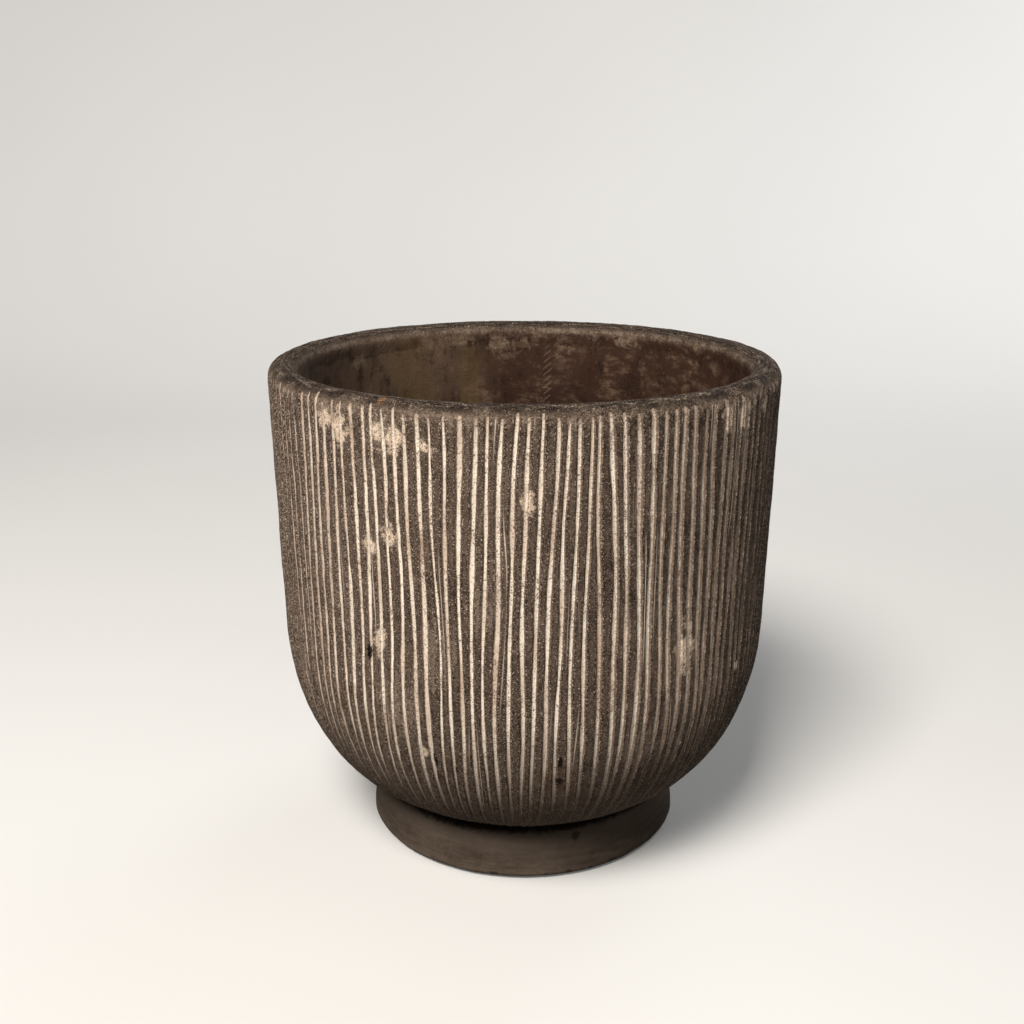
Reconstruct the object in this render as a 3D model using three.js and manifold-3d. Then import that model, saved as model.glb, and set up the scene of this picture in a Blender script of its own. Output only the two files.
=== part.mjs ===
// A round flower pot: a pale cast bowl on a separate foot ring. A dark coat covers the outside and
// wraps over the rim, and hand-drawn upright lines are scored right through it, so the pale casting
// shows in them. A brushed waterproof coat lines the inside, and a rubber stopper closes the drain hole.
// Units are millimetres, +Z is up, and the origin is on the table under the middle of the pot.
import * as THREE from "three";
import { mergeVertices } from "three/addons/utils/BufferGeometryUtils.js";
import Module from "manifold-3d";

const wasm = await Module();
wasm.setup();

// Overall form
const HEIGHT = 157; // table to the top of the rim
const RIM_RADIUS = 80; // outside, where the rim starts to round over
const BELLY_RADIUS = 78.6; // outside, where the upright wall turns into the bowl
const BELLY_HEIGHT = 75; // table to that turn
const BASE_RADIUS = 48; // edge of the casting's flat underside
const BASE_ANGLE = 78.5; // degrees of a quarter ellipse that the bowl uses before the underside cuts it

// Layers of the wall
const CAST_WALL = 6.6; // the cast bowl alone
const RIM_ROUND = 3; // radius on both edges of the cast rim
const COAT = 1.1; // dark outer coat
const SEAL = 0.7; // waterproof coat inside
const BOND = 0.2; // gap left between a coat and the casting
const COAT_LAP = 4; // how far the coat reaches down inside the rim
const SEAL_START = 3; // bare casting left between that and the waterproof coat

// Scored lines
const LINE_COUNT = 140;
const LINE_WIDTH = 1.4; // at the rim and at the coat's surface; it narrows with the bowl
const LINE_FLOOR = 0.9; // the same at the casting, narrower because the tool is pointed
const LINE_SWAY = 0.22; // sideways wander of the hand, as a share of the spacing
const FAN_AT = -83; // degrees round from +X, where the hand began and the lines lean apart towards the foot
const FAN_SPREAD = 11; // degrees to each side where they lean most
const FAN_LEAN = 3.5; // degrees that such a line moves sideways over the height
const LINE_TOP_MARGIN = 0.5; // unscored coat below the rim's round

// Foot
const FOOT_HEIGHT = 15.4;
const FOOT_TOP_RADIUS = 50.4;
const FOOT_BOTTOM_RADIUS = 52;
const FOOT_WALL = 12; // at the table
const FOOT_CHAMFER = 0.8;
const MORTAR = 3; // bed between the foot and the casting
const MORTAR_RECESS = 2.5; // how far the bed stays back from the outer edges of both
const MORTAR_WIDTH = 7.1; // from its outer face in to the hollow of the foot
const PAD_COUNT = 4;
const PAD_RADIUS = 3.6;
const PAD_THICKNESS = 1;

// Drain
const DRAIN_RADIUS = 7;
const STOPPER_CLEARANCE = 0.3; // all round, between the stem and the drain hole
const STOPPER_TAPER = 0.9; // narrowing of the stem's radius down to its end
const STOPPER_FLANGE_RADIUS = 12;
const STOPPER_FLANGE = 2.5;
const STOPPER_GRIP_RADIUS = 4.5;
const STOPPER_GRIP_HEIGHT = 6;
const STOPPER_PROUD = 1.2; // how far the stem shows below the casting
const STOPPER_ROUND = 1;

// Facets
const TURN_STEPS = 48; // round a turned piece
const BOWL_STEPS = 4; // along the bowl's curve
const WALL_STEPS = 2; // along the upright wall, for the sway of the lines
const ROUND_STEPS = 2; // along a quarter round
const PAD_STEPS = 12;
const STRIP_INSET = 0.18; // the strips between the lines lie this far inside the rim band's faces, to join it cleanly

// Heights and places worked out from the sizes above
const LAYER = BOND + COAT;
const footTop = PAD_THICKNESS + FOOT_HEIGHT;
const underside = footTop + MORTAR;
const castTop = HEIGHT - LAYER;
const rimRound = Math.min(RIM_ROUND, CAST_WALL / 2);
const roundStart = castTop - rimRound;
const castRimRadius = RIM_RADIUS - LAYER;
const castBellyRadius = BELLY_RADIUS - LAYER;
const baseTurn = THREE.MathUtils.degToRad(BASE_ANGLE);
const bowlAcross = (castBellyRadius - BASE_RADIUS) / (1 - Math.cos(baseTurn));
const bowlDown = (BELLY_HEIGHT - underside) / Math.sin(baseTurn);
const lineTop = roundStart - LINE_TOP_MARGIN;
const mortarRadius = Math.min(FOOT_TOP_RADIUS, BASE_RADIUS) - MORTAR_RECESS;
const mortarInside = mortarRadius - MORTAR_WIDTH;

// A place on the casting's outer face, with its outward normal, by the turn along the bowl's ellipse.
function bowlPlace(turn) {
  const normal = new THREE.Vector2(Math.cos(turn) / bowlAcross, -Math.sin(turn) / bowlDown).normalize();
  const r = castBellyRadius - bowlAcross * (1 - Math.cos(turn));
  return { point: new THREE.Vector2(r, BELLY_HEIGHT - bowlDown * Math.sin(turn)), normal };
}

// A place on the upright wall, by its height.
function wallPlace(z) {
  const share = (z - BELLY_HEIGHT) / (roundStart - BELLY_HEIGHT);
  const r = THREE.MathUtils.lerp(castBellyRadius, castRimRadius, share);
  return { point: new THREE.Vector2(r, z), normal: new THREE.Vector2(1, 0) };
}

// The place moved out of the casting by a distance, or into it by a negative one.
function offset(place, distance) {
  return place.point.clone().addScaledVector(place.normal, distance);
}

// Turns along the bowl from the underside up to the belly.
const bowlTurns = Array.from({ length: BOWL_STEPS + 1 }, (_, k) => baseTurn * (1 - k / BOWL_STEPS));

// The casting's side from the underside up to a height on the upright wall.
function sideTo(z, distance) {
  return [...bowlTurns.map(bowlPlace), wallPlace(z)].map((place) => offset(place, distance));
}

// A quarter round from one angle to another, in degrees counted from outwards.
function quarterRound(centre, radius, from, to) {
  return Array.from({ length: ROUND_STEPS + 1 }, (_, k) => {
    const angle = THREE.MathUtils.degToRad(THREE.MathUtils.lerp(from, to, k / ROUND_STEPS));
    return new THREE.Vector2(centre.x + radius * Math.cos(angle), centre.y + radius * Math.sin(angle));
  });
}

// Over the cast rim from its outer face to its inner face, at a distance from the casting.
function overRim(distance) {
  const outer = new THREE.Vector2(castRimRadius - rimRound, roundStart);
  const inner = new THREE.Vector2(castRimRadius - CAST_WALL + rimRound, roundStart);
  return [
    ...quarterRound(outer, rimRound + distance, 0, 90),
    ...quarterRound(inner, rimRound + distance, 90, 180),
  ];
}

// Booleans and turning
function solidOf(geometry) {
  const bare = geometry.clone();
  bare.deleteAttribute("normal");
  bare.deleteAttribute("uv");
  const merged = mergeVertices(bare, 1e-4);
  const vertProperties = new Float32Array(merged.attributes.position.array);
  const triVerts = new Uint32Array(merged.index.array);
  return new wasm.Manifold(new wasm.Mesh({ numProp: 3, vertProperties, triVerts }));
}

function geometryOf(solid) {
  const made = solid.getMesh();
  const geometry = new THREE.BufferGeometry();
  geometry.setAttribute("position", new THREE.BufferAttribute(made.vertProperties, 3));
  geometry.setIndex(new THREE.BufferAttribute(made.triVerts, 1));
  return geometry;
}

// A profile turned about +Z. Points go round the section counter-clockwise, with x the radius and y the height.
function turned(profile, steps) {
  const closed = profile[0].x > 0 ? [...profile, profile[0].clone()] : profile;
  return new THREE.LatheGeometry(closed, steps).rotateX(Math.PI / 2);
}

// A solid through rings of points that all have the same count, with flat ends.
function lofted(rings) {
  const count = rings[0].length;
  const points = rings.flat();
  const index = [];
  const last = (rings.length - 1) * count;
  for (let row = 0; row < rings.length - 1; row++) {
    for (let k = 0; k < count; k++) {
      const here = row * count + k;
      const next = row * count + ((k + 1) % count);
      index.push(here, next, next + count, here, next + count, here + count);
    }
  }
  for (let k = 1; k < count - 1; k++) {
    index.push(0, k + 1, k);
    index.push(last, last + k, last + k + 1);
  }
  const geometry = new THREE.BufferGeometry().setFromPoints(points);
  geometry.setIndex(index);
  return geometry;
}

function piece(name, geometry, material) {
  const mesh = new THREE.Mesh(geometry, material);
  mesh.name = name;
  return mesh;
}

// Cast bowl: one thickness all round, a flat underside and a drain hole
function castBowl() {
  const outside = sideTo(roundStart, 0).slice(0, -1);
  const inside = sideTo(roundStart, -CAST_WALL).slice(0, -1).reverse();
  const floor = inside[inside.length - 1].y;
  return turned(
    [
      new THREE.Vector2(DRAIN_RADIUS, underside),
      ...outside,
      ...overRim(0),
      ...inside,
      new THREE.Vector2(DRAIN_RADIUS, floor),
    ],
    TURN_STEPS,
  );
}

// The hand's sideways wander, as an angle, for a line at a share of the height.
function sway(line, share) {
  const round = (2 * Math.PI * line) / LINE_COUNT;
  const slow = Math.sin(7 * round + 4.2 * share + 0.6);
  const mid = 0.45 * Math.sin(19 * round - 5.1 * share + 2.1);
  const quick = 0.2 * Math.sin(47 * round + 2.6 * share);
  return ((2 * Math.PI) / LINE_COUNT) * LINE_SWAY * (slow + mid + quick);
}

// The lean of a line away from the place where the hand began, as an angle that is nothing at half height.
function fan(line, share) {
  const from = (2 * Math.PI * line) / LINE_COUNT - THREE.MathUtils.degToRad(FAN_AT);
  const away = Math.atan2(Math.sin(from), Math.cos(from)) / THREE.MathUtils.degToRad(FAN_SPREAD);
  const lean = THREE.MathUtils.degToRad(FAN_LEAN) * away * Math.exp((1 - away * away) / 2);
  return lean * (0.5 - share);
}

// The polar angle of a scored line at a share of the height.
function lineAngle(line, share) {
  return (2 * Math.PI * line) / LINE_COUNT + sway(line, share) + fan(line, share);
}

// The strip of coat left standing between one scored line and the next, from the foot up to the rim band.
function coatStrip(line) {
  const heights = Array.from({ length: WALL_STEPS }, (_, k) =>
    THREE.MathUtils.lerp(BELLY_HEIGHT, lineTop, (k + 1) / WALL_STEPS),
  );
  const places = [...bowlTurns.map(bowlPlace), ...heights.map(wallPlace)];
  const lip = LINE_WIDTH / 2 / RIM_RADIUS;
  const root = LINE_FLOOR / 2 / RIM_RADIUS;
  const corner = (at, angle) => new THREE.Vector3(at.x * Math.cos(angle), at.x * Math.sin(angle), at.y);
  return lofted(
    places.map((place) => {
      const share = place.point.y / HEIGHT;
      const left = lineAngle(line, share);
      const right = lineAngle(line + 1, share);
      const outer = offset(place, LAYER - STRIP_INSET);
      const inner = offset(place, BOND + STRIP_INSET);
      return [
        corner(inner, left + root),
        corner(outer, left + lip),
        corner(outer, right - lip),
        corner(inner, right - root),
      ];
    }),
  );
}

// The unscored coat over the rim, down both its faces.
function coatRimBand() {
  const lapEnd = wallPlace(roundStart - COAT_LAP);
  return turned(
    [
      offset(wallPlace(lineTop), BOND),
      offset(wallPlace(lineTop), LAYER),
      ...overRim(LAYER),
      offset(lapEnd, -CAST_WALL - LAYER),
      offset(lapEnd, -CAST_WALL - BOND),
      ...overRim(BOND).reverse(),
    ],
    TURN_STEPS,
  );
}

// Scored coat: the strips between the lines, hanging from the rim band
function scoredCoat() {
  const strips = Array.from({ length: LINE_COUNT }, (_, line) => solidOf(coatStrip(line)));
  return geometryOf(wasm.Manifold.union([solidOf(coatRimBand()), ...strips]));
}

// Waterproof coat over the inside wall and floor, open at the drain hole
const sealTop = roundStart - COAT_LAP - SEAL_START;
const sealBack = sideTo(sealTop, -CAST_WALL - BOND);
const sealFace = sideTo(sealTop, -CAST_WALL - BOND - SEAL);
const sealFloor = sealFace[0].y;

function waterproofCoat() {
  return turned(
    [
      new THREE.Vector2(DRAIN_RADIUS, sealBack[0].y),
      ...sealBack,
      ...[...sealFace].reverse(),
      new THREE.Vector2(DRAIN_RADIUS, sealFloor),
    ],
    TURN_STEPS,
  );
}

// Foot ring, flared a little towards the table; its top reaches in as far as the mortar bed
function footRing() {
  return turned(
    [
      new THREE.Vector2(FOOT_BOTTOM_RADIUS - FOOT_WALL, PAD_THICKNESS),
      new THREE.Vector2(FOOT_BOTTOM_RADIUS - FOOT_CHAMFER, PAD_THICKNESS),
      new THREE.Vector2(FOOT_BOTTOM_RADIUS, PAD_THICKNESS + FOOT_CHAMFER),
      new THREE.Vector2(FOOT_TOP_RADIUS, footTop - FOOT_CHAMFER),
      new THREE.Vector2(FOOT_TOP_RADIUS - FOOT_CHAMFER, footTop),
      new THREE.Vector2(mortarInside, footTop),
    ],
    TURN_STEPS,
  );
}

// Mortar bed that bonds the foot to the casting, held back so that a dark joint shows
function mortarBed() {
  return turned(
    [
      new THREE.Vector2(mortarInside, footTop),
      new THREE.Vector2(mortarRadius, footTop),
      new THREE.Vector2(mortarRadius, underside),
      new THREE.Vector2(mortarInside, underside),
    ],
    TURN_STEPS,
  );
}

// Felt pad, with its top against the foot ring
function feltPad() {
  const disc = new THREE.CylinderGeometry(PAD_RADIUS, PAD_RADIUS, PAD_THICKNESS, PAD_STEPS);
  return disc.rotateX(Math.PI / 2).translate(0, 0, PAD_THICKNESS / 2);
}

// Drain stopper: a tapered stem, a flange that seals on the waterproof coat and a waisted grip.
// Its own zero height is the underside of the flange.
function drainStopper() {
  const stem = DRAIN_RADIUS - STOPPER_CLEARANCE;
  const stemEnd = stem - STOPPER_TAPER;
  const end = underside - STOPPER_PROUD - sealFloor;
  const gripTop = STOPPER_FLANGE + STOPPER_GRIP_HEIGHT;
  const waist = STOPPER_GRIP_RADIUS - STOPPER_ROUND;
  return turned(
    [
      new THREE.Vector2(0, end),
      new THREE.Vector2(stemEnd - STOPPER_ROUND, end),
      new THREE.Vector2(stemEnd, end + STOPPER_ROUND),
      new THREE.Vector2(stem, 0),
      new THREE.Vector2(STOPPER_FLANGE_RADIUS, 0),
      new THREE.Vector2(STOPPER_FLANGE_RADIUS, STOPPER_FLANGE - STOPPER_ROUND),
      new THREE.Vector2(STOPPER_FLANGE_RADIUS - STOPPER_ROUND, STOPPER_FLANGE),
      new THREE.Vector2(waist, STOPPER_FLANGE),
      new THREE.Vector2(STOPPER_GRIP_RADIUS, gripTop - 2 * STOPPER_ROUND),
      new THREE.Vector2(STOPPER_GRIP_RADIUS, gripTop - STOPPER_ROUND),
      new THREE.Vector2(waist, gripTop),
      new THREE.Vector2(0, gripTop),
    ],
    TURN_STEPS / 2,
  );
}

// Finishes
const paleCast = new THREE.MeshStandardMaterial({ color: 0xc9b499, roughness: 0.95, metalness: 0 });
const darkCoat = new THREE.MeshStandardMaterial({ color: 0x4d463f, roughness: 0.9, metalness: 0 });
const brownSeal = new THREE.MeshStandardMaterial({ color: 0x3a2a20, roughness: 0.55, metalness: 0 });
const darkCast = new THREE.MeshStandardMaterial({ color: 0x4a433c, roughness: 0.9, metalness: 0 });
const greyMortar = new THREE.MeshStandardMaterial({ color: 0x2e2a26, roughness: 0.95, metalness: 0 });
const blackRubber = new THREE.MeshStandardMaterial({ color: 0x1c1b1a, roughness: 0.7, metalness: 0 });
const greyFelt = new THREE.MeshStandardMaterial({ color: 0x35322f, roughness: 1, metalness: 0 });

// Assembly
const pot = new THREE.Group();
pot.add(piece("cast_bowl", castBowl(), paleCast));
pot.add(piece("scored_coat", scoredCoat(), darkCoat));
pot.add(piece("waterproof_coat", waterproofCoat(), brownSeal));

const foot = new THREE.Group();
foot.add(piece("foot_ring", footRing(), darkCast));
foot.add(piece("mortar_bed", mortarBed(), greyMortar));
const padCircle = FOOT_BOTTOM_RADIUS - FOOT_WALL / 2;
for (let k = 0; k < PAD_COUNT; k++) {
  const angle = (2 * Math.PI * (k + 0.5)) / PAD_COUNT;
  const pad = piece(`felt_pad_${k + 1}`, feltPad(), greyFelt);
  pad.position.set(padCircle * Math.cos(angle), padCircle * Math.sin(angle), 0);
  foot.add(pad);
}
pot.add(foot);

const stopper = piece("drain_stopper", drainStopper(), blackRubber);
stopper.position.z = sealFloor;
pot.add(stopper);

export default pot;
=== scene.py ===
import math

import bpy
import numpy as np
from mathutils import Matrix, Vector, noise


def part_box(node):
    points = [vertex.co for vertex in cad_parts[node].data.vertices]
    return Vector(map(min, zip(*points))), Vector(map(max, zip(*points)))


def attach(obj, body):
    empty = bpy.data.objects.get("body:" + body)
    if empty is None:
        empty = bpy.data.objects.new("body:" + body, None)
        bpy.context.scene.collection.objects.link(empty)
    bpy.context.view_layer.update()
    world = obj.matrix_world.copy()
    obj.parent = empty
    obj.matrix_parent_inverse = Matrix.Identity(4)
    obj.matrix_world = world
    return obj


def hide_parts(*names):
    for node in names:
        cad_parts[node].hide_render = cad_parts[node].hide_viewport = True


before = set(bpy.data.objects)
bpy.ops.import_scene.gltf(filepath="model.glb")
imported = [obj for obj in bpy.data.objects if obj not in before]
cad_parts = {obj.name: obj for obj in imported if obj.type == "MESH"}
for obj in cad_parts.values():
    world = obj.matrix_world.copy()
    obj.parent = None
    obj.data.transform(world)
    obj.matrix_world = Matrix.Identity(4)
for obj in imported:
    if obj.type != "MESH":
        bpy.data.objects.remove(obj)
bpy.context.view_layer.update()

MM = 0.001

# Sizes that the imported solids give
coat_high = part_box("scored_coat")[1]
foot_low, foot_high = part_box("foot_ring")
bed_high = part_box("mortar_bed")[1]
stopper_low, stopper_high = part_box("drain_stopper")
pad_names = sorted(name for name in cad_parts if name.startswith("felt_pad"))

RIM_TOP = coat_high.z
RIM_RADIUS = coat_high.x
UNDERSIDE = bed_high.z
FOOT_BOTTOM = foot_low.z
FOOT_TOP = foot_high.z
FOOT_BOTTOM_RADIUS = foot_high.x

# Sizes of the wall, as the casting and its coats were drawn
BELLY_RADIUS = 78.6 * MM
BELLY_HEIGHT = 75 * MM
BASE_RADIUS = 48 * MM
BASE_TURN = math.radians(78.5)
CAST_WALL = 6.6 * MM
RIM_ROUND = 3 * MM
COAT = 1.1 * MM
SEAL = 0.7 * MM
BOND = 0.2 * MM
COAT_LAP = 4 * MM
DRAIN_RADIUS = 7 * MM
LAYER = COAT + BOND
ROUND_START = RIM_TOP - LAYER - RIM_ROUND
CAST_RIM_RADIUS = RIM_RADIUS - LAYER
CAST_BELLY_RADIUS = BELLY_RADIUS - LAYER
BOWL_ACROSS = (CAST_BELLY_RADIUS - BASE_RADIUS) / (1 - math.cos(BASE_TURN))
BOWL_DOWN = (BELLY_HEIGHT - UNDERSIDE) / math.sin(BASE_TURN)

# Scored lines
LINES = 140
LINE_WIDTH = 2.2 * MM
LINE_DEPTH = 0.6 * MM
LINE_TOP = RIM_TOP - 2.1 * MM
LINE_SWAY = 0.22
BURR = 0.1 * MM
TIP_WAVER = 2.4 * MM
FAN_AT = math.radians(-83)
FAN_SPREAD = math.radians(11)
FAN_LEAN = math.radians(3.5)

# Foot
FOOT_TOP_RADIUS = 50.4 * MM
FOOT_WALL = 12 * MM

# Limits used in modelling
SAME_PLACE = 1e-6  # points closer than this count as one
SHARP = math.radians(40)  # edges that turn more than this count as sharp
QUARTER = math.pi / 2


# Modelling by hand

def start(name):
    """Names the primitive just added, places it in its mesh and opens it for editing."""
    piece = bpy.context.object
    piece.name = name
    piece.data.name = name
    bpy.ops.object.transform_apply(location=True, rotation=True, scale=True)
    bpy.ops.object.mode_set(mode="EDIT")
    bpy.ops.mesh.select_all(action="SELECT")
    return piece


def close_mesh(piece):
    """Merges doubles, turns the faces outwards and leaves edit mode."""
    bpy.ops.mesh.select_all(action="SELECT")
    bpy.ops.mesh.remove_doubles(threshold=SAME_PLACE)
    bpy.ops.mesh.normals_make_consistent(inside=False)
    bpy.ops.object.mode_set(mode="OBJECT")
    bpy.ops.object.shade_smooth_by_angle(angle=SHARP)
    return piece


def raise_selected(height):
    bpy.ops.mesh.extrude_region_move(TRANSFORM_OT_translate={"value": (0, 0, height)})


def pull(section):
    """Draws the selected ring through the section's points, as a thrown wall is drawn up."""
    for (radius, height), (next_radius, next_height) in zip(section, section[1:]):
        raise_selected(next_height - height)
        ratio = next_radius / radius
        bpy.ops.transform.resize(value=(ratio, ratio, 1), center_override=(0, 0, next_height))


def ring(section, columns, fill="NOTHING"):
    """Starts a turned piece with the ring of the section's first point."""
    bpy.ops.object.select_all(action="DESELECT")
    radius, height = section[0]
    bpy.ops.mesh.primitive_circle_add(
        vertices=columns, radius=radius, fill_type=fill, location=(0, 0, height)
    )


def turned_ring(name, section, columns):
    """A turned piece with a hole in its middle: the section runs right round and meets itself."""
    ring(section, columns)
    piece = start(name)
    pull([*section, section[0]])
    return close_mesh(piece)


def pick(piece):
    """Makes a piece the only one selected, and the active one."""
    bpy.ops.object.select_all(action="DESELECT")
    piece.select_set(True)
    bpy.context.view_layer.objects.active = piece


def modify(piece, kind, **settings):
    """Adds a modifier with its settings and applies it."""
    pick(piece)
    modifier = piece.modifiers.new(kind.title(), kind)
    for key, value in settings.items():
        setattr(modifier, key, value)
    bpy.ops.object.modifier_apply(modifier=modifier.name)


def round_edges(piece, width):
    modify(piece, "BEVEL", width=width, segments=3, limit_method="ANGLE", angle_limit=SHARP)


def uneven(piece, height, size):
    """Gives a hand-made surface its unevenness, of a height and a size of swell."""
    clouds = bpy.data.textures.new(piece.name + "_swell", "CLOUDS")
    clouds.noise_scale = size
    clouds.noise_depth = 2
    modify(piece, "DISPLACE", texture=clouds, texture_coords="LOCAL", strength=height, mid_level=0.5)


def points_of(piece):
    flat = np.empty(len(piece.data.vertices) * 3, np.float32)
    piece.data.vertices.foreach_get("co", flat)
    return flat.reshape(-1, 3)


def place_points(piece, points):
    piece.data.vertices.foreach_set("co", points.astype(np.float32).ravel())
    piece.data.update()


# The pot's section

def steps(first, last, count):
    """Evenly spaced numbers from the first to the last."""
    return [first + (last - first) * k / count for k in range(count + 1)]


def bowl_normal(turn):
    """The direction out of the bowl's curve, as radius and height."""
    return Vector((math.cos(turn) / BOWL_ACROSS, -math.sin(turn) / BOWL_DOWN)).normalized()


def bowl_place(turn, distance):
    """A point of the bowl's curve, moved out of the casting by a distance."""
    normal = bowl_normal(turn)
    radius = CAST_BELLY_RADIUS - BOWL_ACROSS * (1 - math.cos(turn))
    height = BELLY_HEIGHT - BOWL_DOWN * math.sin(turn)
    return radius + distance * normal.x, height + distance * normal.y


def wall_place(height, distance):
    """A point of the upright wall, moved out of the casting by a distance."""
    share = (height - BELLY_HEIGHT) / (ROUND_START - BELLY_HEIGHT)
    return CAST_BELLY_RADIUS + share * (CAST_RIM_RADIUS - CAST_BELLY_RADIUS) + distance, height


def bowl_side(distance, count):
    return [bowl_place(turn, distance) for turn in steps(BASE_TURN, 0, count)]


def wall_side(low, high, distance, count):
    return [wall_place(height, distance) for height in steps(low, high, count)]


def over_rim(distance, count):
    """Over the rim from its outer face to its inner face."""
    radius = RIM_ROUND + distance
    outer = CAST_RIM_RADIUS - RIM_ROUND
    inner = CAST_RIM_RADIUS - CAST_WALL + RIM_ROUND
    turns = [(radius * math.cos(turn), radius * math.sin(turn)) for turn in steps(0, QUARTER, count)]
    out = [(outer + along, ROUND_START + up) for along, up in turns]
    back = [(inner - up, ROUND_START + along) for along, up in turns]
    return [*out, *back]


# Scored coat

LAND, LIP, FLOOR = 0.42, 0.19, 0.065
SLOTS = (-LAND, -LIP, -FLOOR, FLOOR, LIP, LAND)  # points round each line, as shares of the spacing
WIDEST = 0.36  # half of a line at most, as a share of the gap to the next
COLUMNS = LINES * len(SLOTS)
BOWL_ROWS = 40
WALL_ROWS = 48
ROUND_ROWS = 7
LAP_ROWS = 3
SCORED_ROWS = BOWL_ROWS + WALL_ROWS + ROUND_ROWS
SPACING = 2 * math.pi / LINES


def outer_section():
    """The coat's face from its lower edge up, over the rim and down to the thin end of its lap."""
    thick = CAST_WALL + LAYER
    thin = CAST_WALL + BOND + SEAL - 0.05 * MM
    lap = []
    for share in steps(0, 1, LAP_ROWS)[1:]:
        lap.append(wall_place(ROUND_START - COAT_LAP * share, share * (thick - thin) - thick))
    return [
        *bowl_side(LAYER, BOWL_ROWS),
        *wall_side(BELLY_HEIGHT, ROUND_START, LAYER, WALL_ROWS)[1:-1],
        *over_rim(LAYER, ROUND_ROWS),
        *lap,
        wall_place(ROUND_START - COAT_LAP - 0.3 * MM, -CAST_WALL - BOND - 0.3 * MM),
    ]


def outer_normals():
    """The direction out of the coat at each point of that section, as radius and height."""
    bowl = [bowl_normal(turn) for turn in steps(BASE_TURN, 0, BOWL_ROWS)]
    out = [(math.cos(turn), math.sin(turn)) for turn in steps(0, QUARTER, ROUND_ROWS)]
    back = [(-math.sin(turn), math.cos(turn)) for turn in steps(0, QUARTER, ROUND_ROWS)]
    return np.array([*bowl, *[(1, 0)] * (WALL_ROWS - 1), *out, *back, *[(-1, 0)] * (LAP_ROWS + 1)])


def back_section():
    """The coat's hidden face, against the casting, from the end of the lap round to the lower edge."""
    return [
        wall_place(ROUND_START - COAT_LAP, -CAST_WALL - BOND),
        *over_rim(BOND, 3)[::-1],
        *bowl_side(BOND, 10)[::-1],
    ]


def line_angle(line, share):
    """The polar angle of a scored line at a share of the pot's height."""
    round_about = 2 * np.pi * line / LINES
    slow = np.sin(7 * round_about + 4.2 * share + 0.6)
    mid = 0.45 * np.sin(19 * round_about - 5.1 * share + 2.1)
    quick = 0.2 * np.sin(47 * round_about + 2.6 * share)
    sway = SPACING * LINE_SWAY * (slow + mid + quick)
    away = np.angle(np.exp(1j * (round_about - FAN_AT))) / FAN_SPREAD
    fan = FAN_LEAN * away * np.exp((1 - away**2) / 2) * (0.5 - share)
    return round_about + sway + fan


def hand(heights, along, across, seed):
    """Smooth numbers from -1 to 1 for each height and line, as a hand wavers along and between lines."""
    turns = [SPACING * k for k in range(LINES)]
    circle = [(across * math.cos(turn), across * math.sin(turn)) for turn in turns]
    return np.array([[noise.noise((x + seed, y, height * along)) for x, y in circle] for height in heights])


def ramp(number, low, run):
    """0 up to a low number, then evenly up to 1 over a run."""
    return np.clip((number - low) / run, 0, 1)


def line_press(height):
    """How deep each line goes at each height, as a share of the full depth, and half its width."""
    levels = height[:, 0]
    tips = LINE_TOP + hand([0], along=1, across=31, seed=5)[0] * TIP_WAVER
    entry = ramp(tips - height, 0, 2.5 * MM)
    entry[SCORED_ROWS:] = 0
    slow = hand(levels, along=60, across=24, seed=11)
    quick = hand(levels, along=260, across=40, seed=17)
    press = np.clip(0.82 + 0.45 * slow + 0.35 * quick, 0.3, 1.2)
    deep = entry * (0.4 + 0.6 * ramp(height, 20 * MM, 30 * MM)) * press

    upper_taper = 0.75 + 0.25 * ramp(tips - height, 0, 9 * MM)
    lower_taper = 0.6 + 0.4 * ramp(height, 18 * MM, 45 * MM)
    tool = 1 + 0.45 * hand([0], along=1, across=47, seed=61)
    waver = 1 + 0.5 * hand(levels, along=90, across=30, seed=23)
    return deep, LINE_WIDTH / 2 * upper_taper * lower_taper * tool * waver


def line_places(height):
    """The angle of each line at each height, and the gaps to the lines before and after it."""
    waver = 0.3 * SPACING * hand(height[:, 0], along=24, across=21, seed=71)
    centre = line_angle(np.arange(LINES), height / RIM_TOP) + waver
    after = np.roll(centre, -1, axis=1)
    after[:, -1] += 2 * np.pi
    before = np.roll(centre, 1, axis=1)
    before[:, 0] -= 2 * np.pi
    return centre, centre - before, after - centre


def keep(piece, name, numbers):
    """Stores numbers at the piece's first points, and 0 at the others, for its finish."""
    stored = np.zeros(len(piece.data.vertices), np.float32)
    stored[: numbers.size] = numbers.ravel()
    piece.data.attributes.new(name, "FLOAT", "POINT")
    piece.data.attributes[name].data.foreach_set("value", stored)


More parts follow.
